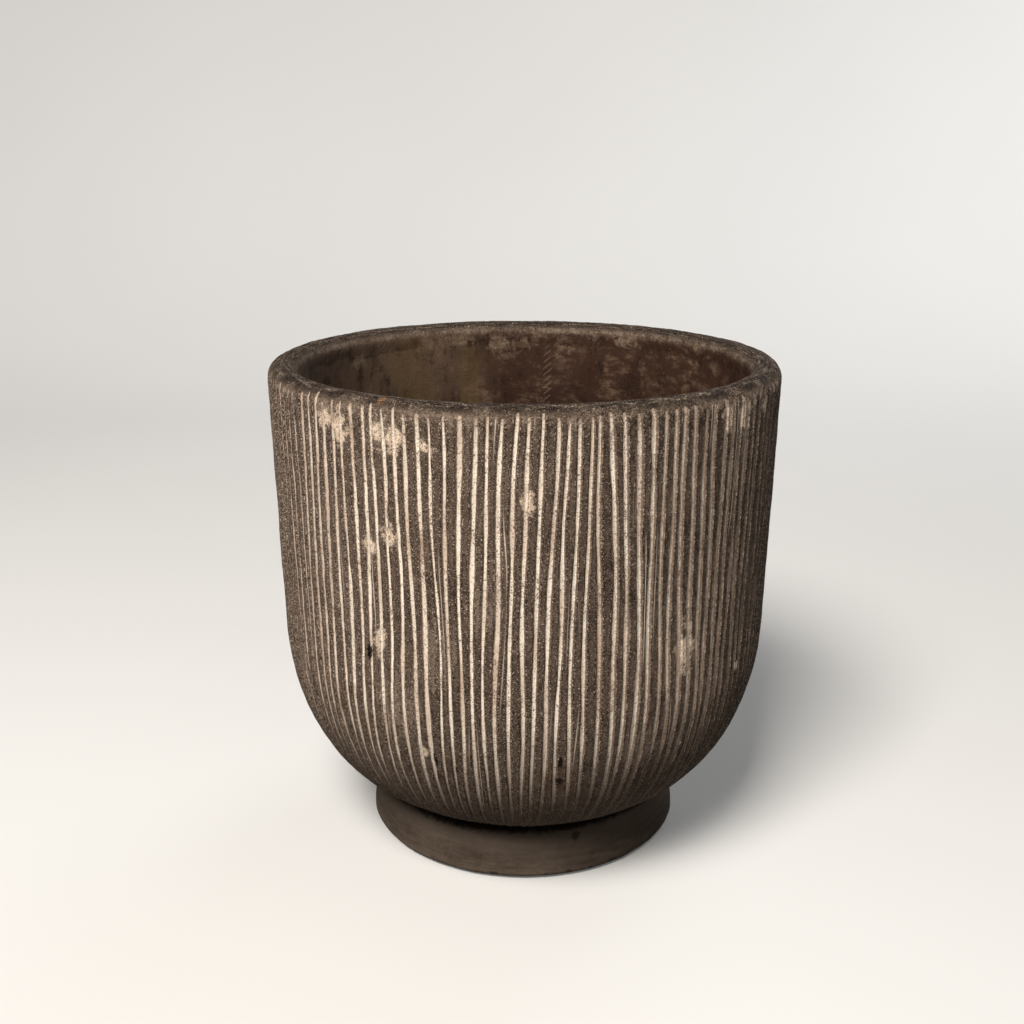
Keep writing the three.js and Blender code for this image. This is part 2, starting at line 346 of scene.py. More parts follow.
def score(piece, section):
    """Cuts the lines by moving each ring's points, and keeps the numbers that the finish needs."""
    points = points_of(piece)
    turn = np.arctan2(points[:COLUMNS, 1], points[:COLUMNS, 0])
    column = np.round(turn / (2 * np.pi) * COLUMNS).astype(int) % COLUMNS
    line = column // len(SLOTS)
    offset = np.array(SLOTS)[column % len(SLOTS)]
    right = offset > 0
    bottom = np.abs(offset) <= FLOOR
    lip = np.abs(offset) == LIP
    radius, height = (np.array(numbers)[:, None] for numbers in zip(*section))
    levels = height[:, 0]

    deep, width = (numbers[:, line] for numbers in line_press(height))
    centre, gap_before, gap_after = (numbers[:, line] for numbers in line_places(height))
    gap = np.where(right, gap_after, gap_before)
    half = np.minimum(width / RIM_RADIUS, WIDEST * gap)
    angle = centre + np.where(bottom | lip, offset / LIP * half, offset * gap)
    depth = deep * (bottom * LINE_DEPTH - lip * BURR)
    normal = outer_normals()
    around = radius - depth * normal[:, :1]
    up = height - depth * normal[:, 1:]
    moved = np.stack([around * np.cos(angle), around * np.sin(angle), up], -1).reshape(-1, 3)
    points[: len(moved)] = moved
    place_points(piece, points)

    land = np.where(right, line, line - 1) % LINES
    every_ring = np.ones_like(height)
    chalk = 0.5 + 0.7 * hand(levels, along=45, across=36, seed=29)
    twin = np.clip(hand(levels, along=22, across=37, seed=41) * 3.5 - 0.6, 0, 1)
    twin_at = 0.5 + 0.85 * hand(levels, along=17, across=33, seed=53)
    keep(piece, "groove", every_ring * (bottom * 1.0 + lip * 0.4))
    keep(piece, "deep", deep)
    keep(piece, "chalk", chalk[:, line])
    keep(piece, "across", every_ring * np.where(right, offset, 1 + offset))
    keep(piece, "twin", twin[:, land] * np.clip(deep * 3, 0, 1))
    keep(piece, "twin_at", twin_at[:, land])


def select_rings(piece, section):
    """Selects the points that lie on the given rings, out of edit mode, and goes back in."""
    bpy.ops.mesh.select_all(action="DESELECT")
    bpy.ops.object.mode_set(mode="OBJECT")
    points = points_of(piece)
    radius = np.hypot(points[:, 0], points[:, 1])
    chosen = np.zeros(len(points), bool)
    for ring_radius, height in section:
        on_wall = np.abs(radius - ring_radius) < SAME_PLACE
        chosen |= on_wall & (np.abs(points[:, 2] - height) < SAME_PLACE)
    piece.data.vertices.foreach_set("select", chosen)
    bpy.ops.object.mode_set(mode="EDIT")
    bpy.ops.mesh.select_mode(type="VERT")
    bpy.ops.mesh.select_mode(type="EDGE")


def scored_coat():
    """The dark coat with its hand-drawn lines: a fine face and a plain back, bridged at both ends."""
    face, back = outer_section(), back_section()
    ring(face, COLUMNS)
    coat = start("scored_coat_face")
    pull(face)
    bpy.ops.mesh.select_all(action="DESELECT")
    back_radius, back_height = back[0]
    bpy.ops.mesh.primitive_circle_add(vertices=LINES, radius=back_radius, location=(0, 0, back_height))
    pull(back)
    for ends in ((face[0], back[-1]), (face[-1], back[0])):
        select_rings(coat, ends)
        bpy.ops.mesh.bridge_edge_loops()
    bpy.ops.object.mode_set(mode="OBJECT")
    score(coat, face)
    bpy.ops.object.mode_set(mode="EDIT")
    close_mesh(coat)
    uneven(coat, 0.5 * MM, 16 * MM)
    uneven(coat, 0.26 * MM, 2.2 * MM)
    coat.data.materials.append(scored_finish())
    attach(coat, "pot")
    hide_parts("scored_coat")


# Waterproof lining

LINING_COLUMNS = 240
LINING_LAP = 0.9 * MM  # how far it reaches up under the end of the dark coat


def lining():
    """The brushed waterproof coat inside, up to the coat's lap and down to the drain hole."""
    top = ROUND_START - COAT_LAP + LINING_LAP
    against = -CAST_WALL - BOND
    face = [*wall_side(top, BELLY_HEIGHT, against - SEAL, 14)[:-1], *bowl_side(against - SEAL, 22)[::-1]]
    hidden = [*bowl_side(against, 10), wall_place(top, against)]
    floor_radius, floor = face[-1]
    section = [
        *face,
        *[(radius, floor) for radius in steps(floor_radius, DRAIN_RADIUS, 8)[1:]],
        (DRAIN_RADIUS, hidden[0][1]),
        *hidden,
    ]
    piece = turned_ring("waterproof_lining", section, LINING_COLUMNS)
    uneven(piece, 0.2 * MM, 9 * MM)
    piece.data.materials.append(lining_finish())
    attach(piece, "pot")
    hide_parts("waterproof_coat")


# Foot ring and pads

FOOT_COLUMNS = 360
PAD_COLUMNS = 64


def foot():
    """The smooth ring under the bowl, with worn edges."""
    inside = FOOT_BOTTOM_RADIUS - FOOT_WALL
    lean = FOOT_TOP_RADIUS - FOOT_BOTTOM_RADIUS
    rise = FOOT_TOP - FOOT_BOTTOM
    section = [
        *[(inside + FOOT_WALL * s, FOOT_BOTTOM) for s in steps(0, 1, 6)],
        *[(FOOT_BOTTOM_RADIUS + lean * s, FOOT_BOTTOM + rise * s) for s in steps(0, 1, 10)[1:]],
        (FOOT_TOP_RADIUS - FOOT_WALL, FOOT_TOP),
    ]
    piece = turned_ring("foot_ring_smooth", section, FOOT_COLUMNS)
    round_edges(piece, 0.9 * MM)
    uneven(piece, 0.4 * MM, 12 * MM)
    uneven(piece, 0.2 * MM, 2.5 * MM)
    piece.data.materials.append(foot_finish())
    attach(piece, "pot")
    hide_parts("foot_ring")


def felt_pads():
    """Four round felt pads, one shape copied to each place."""
    low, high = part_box(pad_names[0])
    middle = (low + high) / 2
    bpy.ops.object.select_all(action="DESELECT")
    bpy.ops.mesh.primitive_circle_add(
        vertices=PAD_COLUMNS,
        radius=(high.x - low.x) / 2,
        fill_type="NGON",
        location=(middle.x, middle.y, low.z),
    )
    first = start("felt_disc_1")
    raise_selected(high.z - low.z)
    close_mesh(first)
    round_edges(first, 0.25 * MM)
    first.data.materials.append(felt_finish())
    pads = [first]
    for k, name in enumerate(pad_names[1:], 2):
        pick(first)
        bpy.ops.object.duplicate()
        pad = bpy.context.object
        pad.name = f"felt_disc_{k}"
        pad.data.name = pad.name
        bpy.ops.transform.translate(value=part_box(name)[0] - low)
        bpy.ops.object.transform_apply(location=True, rotation=True, scale=True)
        pads.append(pad)
    for pad, name in zip(pads, pad_names):
        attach(pad, "pot")
        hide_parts(name)


# Drain stopper

STOPPER_COLUMNS = 96
STEM_RADIUS = 6.7 * MM
FLANGE_RADIUS = 12 * MM
FLANGE = 2.5 * MM
GRIP_RADIUS = 4.5 * MM
GRIP_HEIGHT = 6 * MM


def stopper():
    """The rubber stopper: a tapered stem, a sealing flange and a waisted grip."""
    bottom, top = stopper_low.z, stopper_high.z
    flange_top = top - GRIP_HEIGHT
    flange_bottom = flange_top - FLANGE
    section = [
        (STEM_RADIUS - 1.9 * MM, bottom),
        (STEM_RADIUS - 0.9 * MM, bottom + 1 * MM),
        (STEM_RADIUS, flange_bottom),
        (FLANGE_RADIUS, flange_bottom),
        (FLANGE_RADIUS, flange_top),
        (GRIP_RADIUS - 1 * MM, flange_top),
        (GRIP_RADIUS, top - 2 * MM),
        (GRIP_RADIUS, top),
    ]
    ring(section, STOPPER_COLUMNS, fill="NGON")
    piece = start("drain_stopper_rubber")
    pull(section)
    close_mesh(piece)
    round_edges(piece, 0.5 * MM)
    piece.data.materials.append(rubber_finish())
    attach(piece, "stopper")
    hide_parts("drain_stopper")


# Finishes

class Value:
    """A number that varies over a surface. Arithmetic on it adds Math nodes."""

    def __init__(self, nodes, socket):
        self.nodes = nodes
        self.socket = socket

    def math(self, operation, *numbers):
        return self.nodes.value("ShaderNodeMath", {"operation": operation}, dict(enumerate(numbers)))

    def __add__(self, other):
        return self.math("ADD", self, other)

    def __sub__(self, other):
        return self.math("SUBTRACT", self, other)

    def __rsub__(self, other):
        return self.math("SUBTRACT", other, self)

    def __mul__(self, other):
        return self.math("MULTIPLY", self, other)

    def __truediv__(self, other):
        return self.math("DIVIDE", self, other)

    def at_least(self, other):
        return self.math("MAXIMUM", self, other)

    def size(self):
        return self.math("ABSOLUTE", self)

    def root(self):
        return self.math("SQRT", self)

    def wave(self):
        return self.math("SINE", self)

    def rise(self, low, high):
        """0 at the low number, 1 at the high one, smooth between them and level outside."""
        settings = {"interpolation_type": "SMOOTHSTEP"}
        sockets = {"Value": self, "From Min": low, "From Max": high}
        return self.nodes.value("ShaderNodeMapRange", settings, sockets)

    def fall(self, low, high):
        return 1 - self.rise(low, high)


def together(masks):
    """The strongest of several masks at each place."""
    whole, *others = masks
    for mask in others:
        whole = whole.at_least(mask)
    return whole


class Nodes:
    """The nodes of a material or of the world, and the ways to add to them."""

    def __init__(self, tree):
        self.tree = tree

    def node(self, kind, settings=None, sockets=None):
        """Adds a node, with its settings first and then the values or links of its sockets."""
        node = self.tree.nodes.new(kind)
        for key, setting in (settings or {}).items():
            setattr(node, key, setting)
        for key, given in (sockets or {}).items():
            self.feed(node.inputs[key], given)
        return node

    def feed(self, socket, given):
        """Links a value or a socket to a socket, or sets a constant on it."""
        source = given.socket if isinstance(given, Value) else given
        if isinstance(source, bpy.types.NodeSocket):
            self.tree.links.new(source, socket)
        else:
            socket.default_value = source

    def value(self, kind, settings=None, sockets=None, output=0):
        return Value(self, self.node(kind, settings, sockets).outputs[output])

    def mix(self, first, second, share):
        """A colour between two, by a share from 0 to 1."""
        settings = {"data_type": "RGBA", "clamp_factor": True}
        return self.node("ShaderNodeMix", settings, {0: share, 6: first, 7: second}).outputs[2]

    def seen(self):
        """1 on rays that show a surface, also in a mirror or through glass, and 0 on those that light."""
        rays = self.node("ShaderNodeLightPath").outputs
        kinds = ("Camera", "Glossy", "Transmission")
        return together([Value(self, rays[f"Is {kind} Ray"]) for kind in kinds])


class Finish(Nodes):
    """A material on one Principled shader. Lengths are in millimetres."""

    def __init__(self, name):
        self.material = bpy.data.materials.new(name)
        self.material.use_nodes = True
        super().__init__(self.material.node_tree)
        self.shader = self.tree.nodes["Principled BSDF"]
        metres = self.node("ShaderNodeTexCoord").outputs["Object"]
        self.place = self.vector("SCALE", metres, Scale=1 / MM)
        axes = self.node("ShaderNodeSeparateXYZ", None, {0: self.place}).outputs
        self.x, self.y, self.z = (Value(self, axis) for axis in axes)
        self.radius = (self.x * self.x + self.y * self.y).root()

    def vector(self, operation, *vectors, **sockets):
        given = {**dict(enumerate(vectors)), **sockets}
        return self.node("ShaderNodeVectorMath", {"operation": operation}, given).outputs[0]

    def kept(self, name):
        """A number stored at the piece's points."""
        return self.value("ShaderNodeAttribute", {"attribute_name": name}, output="Fac")

    def grain(self, swell, detail=4.0, roughness=0.6, place=None, distortion=0.0):
        """Cloudy noise from 0 to 1, with swells of a size."""
        sockets = {"Vector": place or self.place, "Scale": 1 / swell, "Detail": detail}
        sockets |= {"Roughness": roughness, "Distortion": distortion}
        return self.value("ShaderNodeTexNoise", None, sockets)

    def drawn_out(self, along, up):
        """The place, for a noise that is drawn out round the pot or up it."""
        return self.vector("MULTIPLY", self.place, (1 / along, 1 / along, 1 / up))

    def sanded(self, along):
        """The place, for a noise in fine rings round the pot."""
        rings = {0: self.x / along, 1: self.y / along, 2: self.radius + self.z}
        return self.node("ShaderNodeCombineXYZ", None, rings).outputs[0]

    def pits(self, spacing, low, high):
        """1 at scattered points and 0 away from them, the limits being shares of the spacing."""
        sockets = {"Vector": self.place, "Scale": 1 / spacing}
        return self.value("ShaderNodeTexVoronoi", None, sockets, "Distance").fall(low, high)

    def spot(self, angle, height, size, squash, ragged, radius=None):
        """1 inside a spot at degrees to the right of the front, a height and a size, squashed in height."""
        turn = math.radians(angle)
        out = radius or wall_radius(height)
        centre = (out * math.sin(turn), -out * math.cos(turn), height)
        apart = self.vector("MULTIPLY", self.vector("SUBTRACT", self.place, centre), (1, 1, squash))
        far = self.value("ShaderNodeVectorMath", {"operation": "LENGTH"}, {0: apart}, "Value")
        return (far / size + ragged).fall(0.85, 1.0)

    def spots(self, marks, ragged, radius=None):
        """All of a list of spots."""
        return together([self.spot(*mark, ragged, radius) for mark in marks])

    def bump(self, height, depth):
        """A normal that follows a height from 0 to 1, so many millimetres deep."""
        sockets = {"Strength": 1.0, "Distance": depth * MM, "Height": height}
        return self.node("ShaderNodeBump", None, sockets).outputs[0]

    def done(self, colour, roughness, normal, specular):
        self.feed(self.shader.inputs["Base Color"], colour)
        self.feed(self.shader.inputs["Roughness"], roughness)
        self.feed(self.shader.inputs["Normal"], normal)
        self.shader.inputs["Specular IOR Level"].default_value = specular
        return self.material


def shade(red, green, blue):
    """A colour as seen on a screen, from 0 to 255, as the shader's own numbers."""
    screen = [c / 255 for c in (red, green, blue)]
    return (*[c / 12.92 if c < 0.04 else ((c + 0.055) / 1.055) ** 2.4 for c in screen], 1.0)


def wall_radius(height):
    """The outer radius of the coat at a height, both in millimetres."""
    if height * MM > BELLY_HEIGHT:
        return wall_place(min(height * MM, ROUND_START), LAYER)[0] / MM
    return bowl_place(math.asin((BELLY_HEIGHT - height * MM) / BOWL_DOWN), LAYER)[0] / MM


# Marks: degrees to the right of the front, height, size and upright squash
WORN_PATCHES = [
    (-43, 150, 2.8, 0.9),
    (-38.5, 148, 2.4, 0.5),
    (-28.5, 148, 3.4, 0.9),
    (-25.5, 147, 2.8, 0.7),
    (-18.7, 146, 2.0, 0.9),
    (-27, 120, 2.5, 0.9),
    (-32, 116, 2.2, 0.7),
    (-30.5, 88, 2.0, 0.5),
    (0.5, 132, 1.6, 0.5),
    (35.5, 84, 3.4, 0.5),
    (45, 149.5, 2.8, 0.8),
    (50, 148.5, 3.0, 0.7),
    (59, 150, 2.2, 0.8),
    (55, 71, 1.2, 1.0),
    (-22, 55, 1.4, 0.6),
]
SCUFFS = [
    (-27, 69, 6, 0.6),
    (-17, 88, 5, 0.5),
    (-8, 101, 4, 0.6),
    (26, 56, 5, 0.7),
]
CRACKS = [
    (8, 54, 0.6, 0.06),
    (8, 47, 1.1, 0.7),
    (-14.6, 50, 0.7, 0.7),
    (-19.4, 53, 0.9, 0.3),
    (-33.5, 84, 0.9, 0.4),
]
BROWN_STAIN = (7.5, 48, 6, 0.7)
RIM_STAIN = (-29, 155.8, 1.7, 1.0)
BARE_PATCHES = [
    (-173, 149, 8, 2.4),
    (-158, 151, 12, 5.0),
    (148, 151.5, 5, 3.0),
    (-125, 147.5, 4, 1.4),
]
OLIVE_BANDS = [
    (-144, 120, 8, 0.12),
    (-163, 124, 4, 0.12),
]
SHORT_STROKES = (173, 138, 1.6, 0.12)
FOOT_DRIP = (19, 13.8, 1.3, 0.8)
FOOT_CHIPS = [
    (-9.5, 1, 1.5, 1.0),
    (16.5, 1, 1.3, 1.0),
]


def brushed_brown(f):
    """The brushed coat inside: its colour, roughness and height, with bare casting along its upper edge,
    painted shade deeper down and painted light on its left side.
    """
    inner = (CAST_RIM_RADIUS - CAST_WALL - LAYER) / MM
    brush = f.grain(5, detail=6, roughness=0.65, place=f.drawn_out(1, 2.6))
    smoke = f.grain(12, detail=7, roughness=0.7, distortion=0.5)
    wiped = f.grain(2.4, detail=5, roughness=0.65, place=f.drawn_out(2.2, 1))
    grit = f.grain(0.8, detail=4, roughness=0.7)

    # Painted shade: the coat darkens deeper into the pot, and its hazy and gritty flecks fade there.
    upper = (f.z + (smoke - 0.5) * 50).rise(100, 150)
    # Painted light: the inside is lighter on its left side and darker on its right and back.
    brown = f.mix(shade(98, 80, 66), shade(57, 39, 30), f.x.rise(-45, 0))
    brown = f.mix(shade(27, 15, 10), brown, upper * 0.85 + 0.15)
    brown = f.mix(brown, shade(26, 16, 11), (brush + wiped * 0.6).rise(0.75, 1.0) * 0.65)
    hazy = smoke.rise(0.42, 0.66) * wiped.rise(0.4, 0.62)
    brown = f.mix(brown, shade(108, 87, 72), hazy * (upper * 0.8 + 0.06))
    gritty = (grit + wiped * 0.6).rise(0.9, 1.1)
    brown = f.mix(brown, shade(128, 109, 94), gritty * (upper * 0.5 + 0.04))
    bands = f.spots(OLIVE_BANDS, (brush - 0.5) * 1.6, inner)
    brown = f.mix(brown, shade(92, 74, 48), bands * 0.4)
    strokes = (f.z * 2.6 - f.x * 2.2).wave().rise(0.5, 0.9)
    strokes = strokes * f.spot(*SHORT_STROKES, (grit - 0.5) * 2.4, inner)
    brown = f.mix(brown, shade(128, 110, 96), strokes * 0.35)

    ragged = (brush - 0.5) * 4 + (wiped - 0.5) * 2 + (grit - 0.5) * 1.2
    patches = f.spots(BARE_PATCHES, ragged, inner) * wiped.rise(0.25, 0.7) * 0.7
    thin = (f.z + (smoke - 0.5) * 60 + (grit - 0.5) * 14).rise(147, 166)
    bare = patches.at_least(thin * wiped.rise(0.35, 0.65) * 0.4)
    casting = f.mix(shade(96, 79, 66), shade(168, 146, 124), grit.rise(0.3, 0.7))
    return f.mix(brown, casting, bare), bare * 0.3 + 0.6, brush * 0.6 + grit * 0.6


class CoatGrain:
    """The noises that the marks of the dark coat share, from broad clouds down to dust."""

    def __init__(self, f):
        self.broad = f.grain(32, detail=3)
        self.mottle = f.grain(4, detail=5)
        self.grit = f.grain(0.9, detail=4, roughness=0.7)
        self.dust = f.grain(0.42, detail=2, roughness=0.7)
        self.hatch = f.grain(0.26, detail=3, place=f.drawn_out(2.5, 1))
        self.upright = f.grain(0.9, detail=3, place=f.drawn_out(1, 14))
        self.torn = (self.grit - 0.5) * 0.9 + (self.dust - 0.5) * 0.9
        self.ragged = (self.mottle - 0.5) * 4 + (self.grit - 0.5) * 3 + (self.dust - 0.5) * 2.4
        self.pits = f.pits(2.2, 0.1, 0.2) * self.mottle.rise(0.46, 0.6)


class LineMarks:
    """Where the parts of the scored lines are, from the numbers kept when they were cut."""

    def __init__(self, f, grain):
        groove, deep = f.kept("groove"), f.kept("deep")
        cut = groove * (deep * 0.2 + 0.8)
        pressed = deep.rise(0.1, 0.4)
        blotch = (grain.mottle - 0.5) * 40
        blotched = f.x + blotch
        # Pale floors dulled towards both side edges of the pot; on the right flank, where the lamp only
        # grazes, this is painted shade.
        dulled_flanks = blotched.fall(-64, -38).at_least(blotched.rise(24, 62))
        flank = (f.x.size() + blotch).rise(36, 64)
        strand = ((f.kept("across") - f.kept("twin_at")).size() / 0.06 + grain.torn * 1.8).fall(0.4, 1.0)

        self.scored = (cut + grain.torn * 0.22).rise(0.77, 0.84) * deep.rise(0.06, 0.25)
        self.floor = (cut + grain.torn * 0.25).rise(0.86, 0.95) * (1 - dulled_flanks * 0.5)
        # Line sides show their tan colour more on the right flank: painted light on the groove walls that
        # face the lamp there.
        self.slope = (groove + grain.torn * 0.2).rise(0.38, 0.5) * pressed * (f.x.rise(0, 40) * 0.4 + 0.12)
        self.edge = groove.rise(0.05, 0.3) * groove.fall(0.5, 0.7) * pressed
        self.second = strand * f.kept("twin") * groove.fall(0.05, 0.3)
        # More pale crumbs towards both side edges of the pot: painted glints at the flanks, over the coat's
        # own burr crumbs.
        self.crumbs = (grain.dust - 0.5 + self.edge * 0.1 + flank * 0.04).rise(0.15, 0.22) * pressed


def dark_ground(f, grain):
    """The dark coat between the lines: hatched, dusty, pitted, rubbed and stained, and darkened towards the
    right side as painted shade.
    """
    mottle, grit, dust, hatch = grain.mottle, grain.grit, grain.dust, grain.hatch
    # the tone falls towards the right side of the pot: painted shade on the side away from the lamp
    tone = grain.broad * 0.7 + mottle * 1.1 + grit + dust + hatch * 0.6 - f.x.rise(0, 70) * 0.16 - 1.8
    ground = f.mix(shade(54, 43, 35), shade(122, 105, 92), tone)
    ground = f.mix(ground, shade(160, 142, 127), hatch.rise(0.55, 0.72) * 0.6)
    ground = f.mix(ground, shade(196, 177, 159), (dust + (hatch - 0.5) * 0.7).rise(0.63, 0.74) * 0.5)
    ground = f.mix(ground, shade(140, 124, 110), grain.upright.rise(0.62, 0.74) * 0.4)
    ground = f.mix(ground, shade(24, 19, 16), grain.pits * 0.85)
    smeared = (mottle - 0.5) * 3 + (grain.upright - 0.5) * 3
    rubbed = f.spots(SCUFFS, smeared) * 0.75 * hatch.rise(0.35, 0.6)
    shoulder = (f.z + (mottle - 0.5) * 30 + (grit - 0.5) * 34).rise(150, 166)
    ground = f.mix(ground, shade(176, 157, 139), shoulder.at_least(rubbed) * 0.6)
    stain = f.spot(*BROWN_STAIN, (mottle - 0.5) * 2 + (grit - 0.5))
    return f.mix(ground, shade(92, 68, 50), stain * 0.5)


def torn_sides(f, grain):
    """The sloping sides of a line, where the tool tore the coat."""
    return f.mix(shade(124, 102, 87), shade(204, 180, 160), grain.grit * 1.3 + grain.dust * 0.8 - 0.6)


def chalky_line(f, grain, sides, floor):
    """A line's pale floor between its sides, duller near the rim, and greyed low on the bowl as painted
    shade.
    """
    chalk = f.kept("chalk") * 1.5 + (grain.mottle - 0.5) * 0.9 + grain.torn * 0.8
    pale = f.mix(sides, f.mix(shade(206, 182, 161), shade(252, 240, 224), chalk), floor)
    near_rim = (f.z + (grain.grit - 0.5) * 10).rise(146, 155)
    pale = f.mix(pale, shade(190, 170, 152), near_rim * 0.5)
    pale = f.mix(pale, shade(88, 71, 58), grain.dust.fall(0.34, 0.42).at_least(grain.pits) * 0.8)
    # painted shade: the lines grey towards the bottom of the bowl, where its face turns downwards
    return f.mix(shade(118, 102, 89), pale, f.z.rise(20, 70))


def flaked_casting(f, grain):
    """Casting laid bare where the coat is worn away, with dark crumbs left on it."""
    tone = grain.grit * 2.6 + grain.mottle * 0.8 + grain.dust - 1.45
    flaked = f.mix(shade(172, 140, 114), shade(255, 234, 210), tone)
    left = (grain.dust + (grain.grit - 0.5) * 0.5).fall(0.36, 0.45)
    return f.mix(flaked, shade(70, 55, 45), left * 0.8)


def sanded_rim(f, grain, rings):
    """The rim's top, sanded in rings."""
    rough = rings * 2.2 + grain.grit * 2 + grain.broad * 0.5 + grain.dust * 1.4 - 2.7
    rim = f.mix(shade(21, 15, 12), shade(89, 77, 67), rough)
    rim = f.mix(rim, shade(176, 158, 141), (rings + (grain.dust - 0.5) * 1.2).rise(0.62, 0.76) * 0.55)
    stain = f.spot(*RIM_STAIN, grain.ragged, 77.5) * grain.dust.rise(0.4, 0.55)
    return f.mix(rim, shade(172, 126, 84), stain * 0.5)


def scored_finish():
    """The dark coat: pale where scored or worn through, sanded on the rim, brown on the lap inside."""
    f = Finish("scored_dark_coat")
    grain = CoatGrain(f)
    lines = LineMarks(f, grain)
    mottle, grit, dust = grain.mottle, grain.grit, grain.dust
    worn = f.spots(WORN_PATCHES, grain.ragged)
    crack = f.spots(CRACKS, grain.torn * 2)
    sides = torn_sides(f, grain)
    colour = f.mix(dark_ground(f, grain), sides, lines.slope)
    # Dark crumbs along the lips of each line, which also stand as painted shade at the groove edges.
    colour = f.mix(colour, shade(34, 26, 21), lines.edge * dust.fall(0.45, 0.65) * 0.6)
    colour = f.mix(colour, flaked_casting(f, grain), worn * 0.95)
    colour = f.mix(colour, shade(226, 207, 188), lines.second * 0.8)
    colour = f.mix(colour, shade(226, 209, 191), lines.crumbs * 0.45)
    colour = f.mix(colour, chalky_line(f, grain, sides, lines.floor), lines.scored)
    colour = f.mix(colour, shade(16, 12, 10), crack * 0.95)
    # Painted shade: the coat darkens towards its lower edge, in the recess over the foot.
    clear_of_recess_shade = (f.z + (mottle - 0.5) * 5).rise(17.5, 24)
    colour = f.mix(shade(28, 23, 20), colour, clear_of_recess_shade * 0.75 + 0.25)

    rings = f.grain(0.8, detail=4, roughness=0.7, place=f.sanded(9))
    top = (f.z + (grit - 0.5) * 4 + (mottle - 0.5) * 1.5).rise(154.2, 156.2)
    colour = f.mix(colour, sanded_rim(f, grain, rings), top * lines.scored.fall(0, 1))
    height = grit * 0.5 + dust * 0.55 + mottle * 0.5 + grain.hatch * 0.4
    height = height + rings * top * 0.8 - worn * 0.4 - crack

    brown, _, brushed = brushed_brown(f)
    lap = (f.z + (mottle - 0.5) * 3).fall(152, 155.5) * f.z.rise(140, 142) * f.radius.fall(72, 74)
    height = height + (brushed - height) * lap
    return f.done(f.mix(colour, brown, lap), 0.95 - lap * 0.25, f.bump(height, 0.5), 0.08)


def lining_finish():
    """The brushed brown coat."""
    f = Finish("brushed_brown_lining")
    colour, roughness, height = brushed_brown(f)
    return f.done(colour, roughness, f.bump(height, 0.4), 0.08)


def foot_finish():
    """Smooth dark cast ring with faint streaks and a dark drip, with painted shade under the bowl, painted
    light on its upper part, and chipped and darker along its lower edge.
    """
    f = Finish("smooth_dark_cast")
    outer = FOOT_BOTTOM_RADIUS / MM
    broad = f.grain(26, detail=3)
    mottle = f.grain(3, detail=5)
    grit = f.grain(0.7, detail=4, roughness=0.7)
    streak = f.grain(1.4, detail=4, place=f.drawn_out(8, 1))
    ragged = (mottle - 0.5) * 2 + (grit - 0.5)
    tone = broad * 0.8 + mottle * 0.7 + streak * 1.1 + grit * 0.7 - 1.15
    colour = f.mix(shade(60, 51, 43), shade(108, 95, 84), tone)
    colour = f.mix(colour, shade(40, 33, 28), f.pits(3.2, 0.06, 0.14) * mottle.rise(0.5, 0.6) * 0.5)
    # Painted light: the ring's upper part is lightened against the shadow that the bowl casts on it.
    colour = f.mix(colour, shade(124, 110, 98), f.z.rise(6, 13) * 0.45)
    # Painted shade: the ring's top goes dark just under the bowl's overhang; the drip is a dark stain on
    # the ring.
    under = (f.z + ragged * 3).rise(14.8, 17)
    drip = f.spot(*FOOT_DRIP, ragged, outer - 1)
    colour = f.mix(colour, shade(28, 23, 19), under.at_least(drip * 0.8) * 0.85)
    # The chips and the lowest millimetre of the ring are darker and dented.
    lowest_band = (f.z + (mottle - 0.5) * 7).fall(0.6, 1.4)
    chips = f.spots(FOOT_CHIPS, ragged, outer).at_least(lowest_band * 0.7)
    colour = f.mix(colour, shade(36, 30, 25), chips * 0.6)
    height = mottle * 0.5 + grit * 0.5 + streak * 0.3 - chips
    return f.done(colour, 0.92, f.bump(height, 0.3), 0.08)


def cast_finish():
    """Pale casting, seen under the pot."""
    f = Finish("pale_casting")
    mottle = f.grain(5, detail=5)
    grit = f.grain(0.8, detail=4, roughness=0.7)
    holes = f.pits(3.5, 0.1, 0.2)
    colour = f.mix(shade(150, 132, 112), shade(196, 176, 152), mottle * 0.8 + grit * 0.6 - 0.2)
    colour = f.mix(colour, shade(92, 80, 66), holes * 0.7)
    return f.done(colour, 0.95, f.bump(mottle * 0.4 + grit * 0.4 - holes * 0.6, 0.4), 0.2)


def mortar_finish():
    """Dark mortar, rough where it was wiped back."""
    f = Finish("dark_mortar")
    mottle = f.grain(2, detail=5)
    grit = f.grain(0.6, detail=3, roughness=0.7)
    colour = f.mix(shade(34, 28, 24), shade(64, 55, 47), mottle * 0.7 + grit * 0.6 - 0.15)
    return f.done(colour, 0.95, f.bump(mottle * 0.6 + grit * 0.4, 0.4), 0.2)


def felt_finish():
    """Grey felt with matted fibres."""
    f = Finish("grey_felt")
    fibres = f.grain(0.3, detail=5, roughness=0.7, distortion=1.5)
    lumps = f.grain(1.2, detail=3)
    colour = f.mix(shade(38, 35, 32), shade(78, 73, 67), fibres * 0.8 + lumps * 0.4 - 0.1)
    return f.done(colour, 1.0, f.bump(fibres * 0.7 + lumps * 0.5, 0.25), 0.1)


def rubber_finish():
    """Black rubber with a dusty bloom."""
    f = Finish("black_rubber")
    bloom = f.grain(4, detail=4)
    fine = f.grain(0.4, detail=3)
    colour = f.mix(shade(24, 23, 22), shade(58, 55, 52), bloom * 0.9 + fine * 0.4 - 0.2)
    return f.done(colour, bloom * 0.3 + 0.5, f.bump(fine, 0.08), 0.4)


def finish_node(name, material):
    """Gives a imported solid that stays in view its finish."""
    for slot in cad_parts[name].material_slots:
        slot.material = material


# Stage, light and camera

CAMERA_BACK = 378 * MM
CAMERA_UP = 221.3 * MM
CAMERA_PITCH = math.radians(17.12)
CAMERA_YAW = math.radians(0.587)
FOCAL_PIXELS = 1200
IMAGE_PIXELS = 1024
SENSOR = 36

